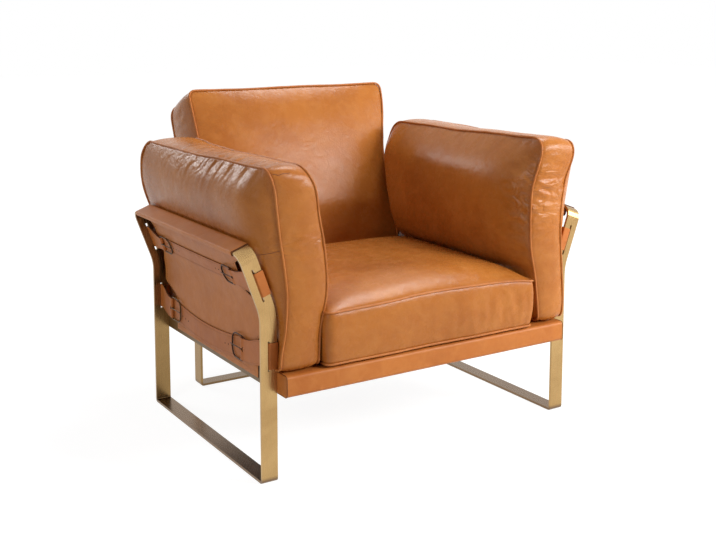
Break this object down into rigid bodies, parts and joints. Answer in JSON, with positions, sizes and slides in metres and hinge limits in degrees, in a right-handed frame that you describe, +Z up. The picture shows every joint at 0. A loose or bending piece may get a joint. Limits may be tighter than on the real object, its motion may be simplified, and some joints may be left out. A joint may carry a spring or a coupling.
{
  "type": "leather lounge chair",
  "caption": "Low square lounge chair: loose piped leather cushions on a seat base between flat brass bar loops, which carry buckled leather slings.",
  "frame": {"origin": "on the floor, below the middle of the chair's overall width and depth", "axes": "+X across the chair to the right as seen from the front, +Y to the back, +Z up"},
  "size_m": [0.9622, 0.8423, 0.7951],
  "materials": {
    "brass": "satin",
    "dark_brass": "satin",
    "leather": "satin",
    "hide": "matte",
    "timber": "matte",
    "webbing": "matte"
  },
  "bodies": {
    "chair_frame": {"left_loop_frame": "brass", "right_loop_frame": "brass", "back_loop_frame": "brass", "left_side_rail": "brass", "right_side_rail": "brass", "rear_rail": "brass", "front_rail": "hide", "deck_frame": "timber", "seat_webbing": "webbing", "left_sling": "hide", "right_sling": "hide", "back_sling": "hide", "left_upper_strap": "hide", "left_lower_strap": "hide", "right_upper_strap": "hide", "right_lower_strap": "hide", "back_upper_strap": "hide", "back_lower_strap": "hide", "left_upper_front_post_loop": "hide", "left_upper_rear_post_loop": "hide", "left_lower_front_post_loop": "hide", "left_lower_rear_post_loop": "hide", "right_upper_front_post_loop": "hide", "right_upper_rear_post_loop": "hide", "right_lower_front_post_loop": "hide", "right_lower_rear_post_loop": "hide", "back_upper_left_post_loop": "hide", "back_upper_right_post_loop": "hide", "back_lower_left_post_loop": "hide", "back_lower_right_post_loop": "hide", "left_upper_front_buckle": "dark_brass", "left_upper_rear_buckle": "dark_brass", "left_lower_front_buckle": "dark_brass", "left_lower_rear_buckle": "dark_brass", "right_upper_front_buckle": "dark_brass", "right_upper_rear_buckle": "dark_brass", "right_lower_front_buckle": "dark_brass", "right_lower_rear_buckle": "dark_brass", "back_upper_left_buckle": "dark_brass", "back_upper_right_buckle": "dark_brass", "back_lower_left_buckle": "dark_brass", "back_lower_right_buckle": "dark_brass"},
    "left_upper_front_tongue": {"left_upper_front_tongue": "dark_brass"},
    "left_upper_rear_tongue": {"left_upper_rear_tongue": "dark_brass"},
    "left_lower_front_tongue": {"left_lower_front_tongue": "dark_brass"},
    "left_lower_rear_tongue": {"left_lower_rear_tongue": "dark_brass"},
    "right_upper_front_tongue": {"right_upper_front_tongue": "dark_brass"},
    "right_upper_rear_tongue": {"right_upper_rear_tongue": "dark_brass"},
    "right_lower_front_tongue": {"right_lower_front_tongue": "dark_brass"},
    "right_lower_rear_tongue": {"right_lower_rear_tongue": "dark_brass"},
    "back_upper_left_tongue": {"back_upper_left_tongue": "dark_brass"},
    "back_upper_right_tongue": {"back_upper_right_tongue": "dark_brass"},
    "back_lower_left_tongue": {"back_lower_left_tongue": "dark_brass"},
    "back_lower_right_tongue": {"back_lower_right_tongue": "dark_brass"},
    "seat_cushion": {"seat_cushion": "leather"},
    "back_cushion": {"back_cushion": "leather"},
    "left_arm_cushion": {"left_arm_cushion": "leather"},
    "right_arm_cushion": {"right_arm_cushion": "leather"}
  },
  "joints": [
    {"name": "left_upper_front_tongue_hinge", "type": "hinge", "parent": "chair_frame", "child": "left_upper_front_tongue", "pos_m": [-0.43055, -0.2475, 0.43045], "axis": [-0.3469, 0, 0.9379], "range_deg": [0, 95]},
    {"name": "left_upper_rear_tongue_hinge", "type": "hinge", "parent": "chair_frame", "child": "left_upper_rear_tongue", "pos_m": [-0.43055, 0.1455, 0.43045], "axis": [0.3469, 0, -0.9379], "range_deg": [0, 95]},
    {"name": "left_lower_front_tongue_hinge", "type": "hinge", "parent": "chair_frame", "child": "left_lower_front_tongue", "pos_m": [-0.409, -0.2475, 0.264], "axis": [0, 0, 1], "range_deg": [0, 95]},
    {"name": "left_lower_rear_tongue_hinge", "type": "hinge", "parent": "chair_frame", "child": "left_lower_rear_tongue", "pos_m": [-0.409, 0.1455, 0.264], "axis": [0, 0, -1], "range_deg": [0, 95]},
    {"name": "right_upper_front_tongue_hinge", "type": "hinge", "parent": "chair_frame", "child": "right_upper_front_tongue", "pos_m": [0.43055, -0.2475, 0.43045], "axis": [-0.3469, 0, -0.9379], "range_deg": [0, 95]},
    {"name": "right_upper_rear_tongue_hinge", "type": "hinge", "parent": "chair_frame", "child": "right_upper_rear_tongue", "pos_m": [0.43055, 0.1455, 0.43045], "axis": [0.3469, 0, 0.9379], "range_deg": [0, 95]},
    {"name": "right_lower_front_tongue_hinge", "type": "hinge", "parent": "chair_frame", "child": "right_lower_front_tongue", "pos_m": [0.409, -0.2475, 0.264], "axis": [0, 0, -1], "range_deg": [0, 95]},
    {"name": "right_lower_rear_tongue_hinge", "type": "hinge", "parent": "chair_frame", "child": "right_lower_rear_tongue", "pos_m": [0.409, 0.1455, 0.264], "axis": [0, 0, 1], "range_deg": [0, 95]},
    {"name": "back_upper_left_tongue_hinge", "type": "hinge", "parent": "chair_frame", "child": "back_upper_left_tongue", "pos_m": [-0.179, 0.30485, 0.43045], "axis": [0, 0.3469, 0.9379], "range_deg": [0, 95]},
    {"name": "back_upper_right_tongue_hinge", "type": "hinge", "parent": "chair_frame", "child": "back_upper_right_tongue", "pos_m": [0.179, 0.30485, 0.43045], "axis": [0, -0.3469, -0.9379], "range_deg": [0, 95]},
    {"name": "back_lower_left_tongue_hinge", "type": "hinge", "parent": "chair_frame", "child": "back_lower_left_tongue", "pos_m": [-0.179, 0.2833, 0.264], "axis": [0, 0, 1], "range_deg": [0, 95]},
    {"name": "back_lower_right_tongue_hinge", "type": "hinge", "parent": "chair_frame", "child": "back_lower_right_tongue", "pos_m": [0.179, 0.2833, 0.264], "axis": [0, 0, -1], "range_deg": [0, 95]},
    {"name": "seat_cushion_pull_out", "type": "slide", "parent": "chair_frame", "child": "seat_cushion", "axis": [0, -1, 0], "range_m": [0, 0.6]},
    {"name": "back_cushion_lift_out", "type": "slide", "parent": "chair_frame", "child": "back_cushion", "axis": [0, 0, 1], "range_m": [0, 0.45]},
    {"name": "left_arm_cushion_lift_out", "type": "slide", "parent": "chair_frame", "child": "left_arm_cushion", "axis": [0, 0, 1], "range_m": [0, 0.45]},
    {"name": "right_arm_cushion_lift_out", "type": "slide", "parent": "chair_frame", "child": "right_arm_cushion", "axis": [0, 0, 1], "range_m": [0, 0.45]}
  ]
}
